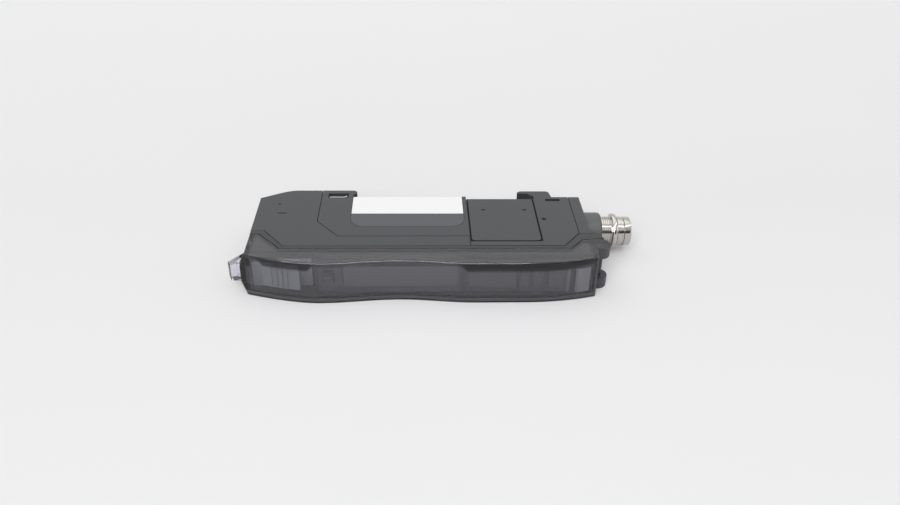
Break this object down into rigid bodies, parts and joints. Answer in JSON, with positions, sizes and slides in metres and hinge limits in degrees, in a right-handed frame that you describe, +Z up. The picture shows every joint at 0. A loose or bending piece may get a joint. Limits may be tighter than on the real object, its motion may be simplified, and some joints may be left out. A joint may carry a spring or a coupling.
{
  "type": "fibre optic sensor amplifier",
  "caption": "Slim rail-mounted fibre optic sensor amplifier with a hinged smoked dust cover, push keys, a lens at the fibre end and a round plug connector.",
  "frame": {"origin": "middle of the footprint, on the table that the amplifier lies on", "axes": "+X along the housing from the fibre end to the round connector, +Y from the operating face to the mounting rail, +Z up through the slim thickness"},
  "size_m": [0.087, 0.031, 0.0098],
  "materials": {
    "housing": "satin",
    "frame": "satin",
    "label": "satin",
    "smoked_cover": "polished",
    "clear_lens": "polished",
    "diode": "polished",
    "black_plastic": "satin",
    "keys": "satin",
    "board": "satin",
    "spring_steel": "satin",
    "nickel": "polished",
    "gold": "polished"
  },
  "bodies": {
    "housing": {"main_case": "housing", "side_cover": "housing", "front_frame": "frame", "rating_label": "label", "indicator_lens": "clear_lens", "status_led": "diode", "emitter_led": "diode", "receiver_diode": "diode", "display_window": "smoked_cover", "display_left": "black_plastic", "display_right": "black_plastic", "optical_block": "black_plastic", "fibre_bush_emitter": "black_plastic", "fibre_bush_receiver": "black_plastic", "expansion_socket": "black_plastic", "connector_collar": "black_plastic", "m8_shell": "nickel", "m8_insert": "black_plastic", "contact_pin_1": "gold", "contact_pin_2": "gold", "contact_pin_3": "gold", "contact_pin_4": "gold", "set_switch": "black_plastic", "up_switch": "black_plastic", "down_switch": "black_plastic", "mode_switch": "black_plastic", "selector_switch": "black_plastic", "main_board": "board", "rail_spring": "spring_steel"},
    "dust_cover": {"dust_cover": "smoked_cover"},
    "fibre_lock_lever": {"fibre_lock_lever": "keys"},
    "output_selector": {"output_selector": "keys"},
    "set_button": {"set_button": "keys"},
    "up_button": {"up_button": "keys"},
    "down_button": {"down_button": "keys"},
    "mode_button": {"mode_button": "keys"},
    "expansion_cover": {"expansion_cover": "housing"}
  },
  "joints": [
    {"name": "dust_cover_hinge", "type": "hinge", "parent": "housing", "child": "dust_cover", "pos_m": [0.03375, -0.0083, 0.0049], "axis": [0, 0, 1], "range_deg": [0, 130]},
    {"name": "fibre_lock_slide", "type": "slide", "parent": "housing", "child": "fibre_lock_lever", "axis": [1, 0, 0], "range_m": [0, 0.0024]},
    {"name": "output_selector_slide", "type": "slide", "parent": "housing", "child": "output_selector", "axis": [0, 0, 1], "range_m": [0, 0.0012]},
    {"name": "set_press", "type": "slide", "parent": "housing", "child": "set_button", "axis": [0, 1, 0], "range_m": [0, 0.00025], "stiffness_N_per_m": 400, "springref_m": -0.0005},
    {"name": "up_press", "type": "slide", "parent": "housing", "child": "up_button", "axis": [0, 1, 0], "range_m": [0, 0.00025], "stiffness_N_per_m": 400, "springref_m": -0.0005},
    {"name": "down_press", "type": "slide", "parent": "housing", "child": "down_button", "axis": [0, 1, 0], "range_m": [0, 0.00025], "stiffness_N_per_m": 400, "springref_m": -0.0005},
    {"name": "mode_press", "type": "slide", "parent": "housing", "child": "mode_button", "axis": [0, 1, 0], "range_m": [0, 0.00025], "stiffness_N_per_m": 400, "springref_m": -0.0005},
    {"name": "expansion_cover_lift", "type": "slide", "parent": "housing", "child": "expansion_cover", "axis": [0, 0, 1], "range_m": [0, 0.002]}
  ]
}
